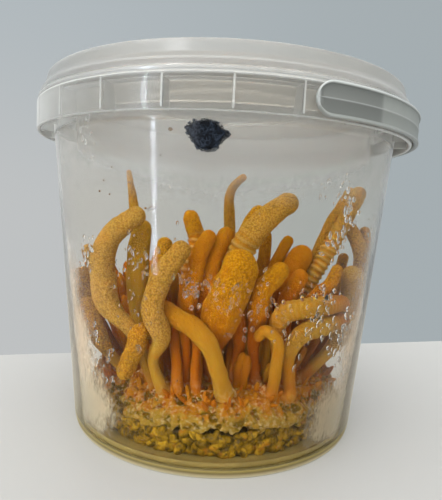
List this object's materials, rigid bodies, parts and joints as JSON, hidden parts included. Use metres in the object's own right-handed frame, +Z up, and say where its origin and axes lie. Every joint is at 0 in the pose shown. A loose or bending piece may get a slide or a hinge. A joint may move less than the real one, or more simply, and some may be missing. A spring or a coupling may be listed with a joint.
{
  "type": "cordyceps bunch in a clear growing tub",
  "caption": "Bunch of orange club-shaped fungus fruit bodies on a grain cake, inside a clear round tub with a snap lid and a hinged bail handle.",
  "frame": {"origin": "centre of the tub's foot, on the surface that it stands on", "axes": "+Z up along the tub's axis, -Y to the front where the breather plug is, +X to the right"},
  "size_m": [0.1351, 0.1351, 0.1183],
  "materials": {
    "clear_plastic": "clear, smooth",
    "grey_plastic": "satin",
    "blue_wad": "matte",
    "grain": "wet",
    "mycelium": "soft, damp",
    "liquid": "wet",
    "club_orange": "granular"
  },
  "bodies": {
    "root": {"tub": "clear_plastic", "lid": "clear_plastic", "breather_plug": "blue_wad", "grain_cake": "grain", "mycelium_mat": "mycelium", "culture_liquid": "liquid", "club_01": "club_orange", "club_02": "club_orange", "club_03": "club_orange", "club_04": "club_orange", "club_05": "club_orange", "club_06": "club_orange", "club_07": "club_orange", "club_08": "club_orange", "club_09": "club_orange", "club_10": "club_orange", "club_11": "club_orange", "club_12": "club_orange", "club_13": "club_orange", "club_14": "club_orange", "club_15": "club_orange", "club_16": "club_orange", "club_17": "club_orange", "club_18": "club_orange", "club_19": "club_orange", "club_20": "club_orange", "club_21": "club_orange", "club_22": "club_orange", "club_23": "club_orange", "club_24": "club_orange", "club_25": "club_orange", "club_26": "club_orange", "club_27": "club_orange", "club_28": "club_orange", "club_29": "club_orange", "club_30": "club_orange", "club_31": "club_orange", "club_32": "club_orange", "club_33": "club_orange", "club_34": "club_orange", "club_35": "club_orange", "club_36": "club_orange", "club_37": "club_orange", "club_38": "club_orange", "club_39": "club_orange", "club_40": "club_orange", "club_41": "club_orange", "club_42": "club_orange", "club_43": "club_orange", "club_44": "club_orange", "club_45": "club_orange", "club_46": "club_orange", "club_47": "club_orange", "club_48": "club_orange", "club_49": "club_orange", "club_50": "club_orange", "club_51": "club_orange", "club_52": "club_orange", "club_53": "club_orange"},
    "handle": {"handle": "grey_plastic"}
  },
  "joints": [
    {"name": "handle_swing", "type": "hinge", "parent": "root", "child": "handle", "pos_m": [0, 0, 0.1054], "axis": [0.3827, -0.9239, 0], "range_deg": [0, 180]}
  ]
}
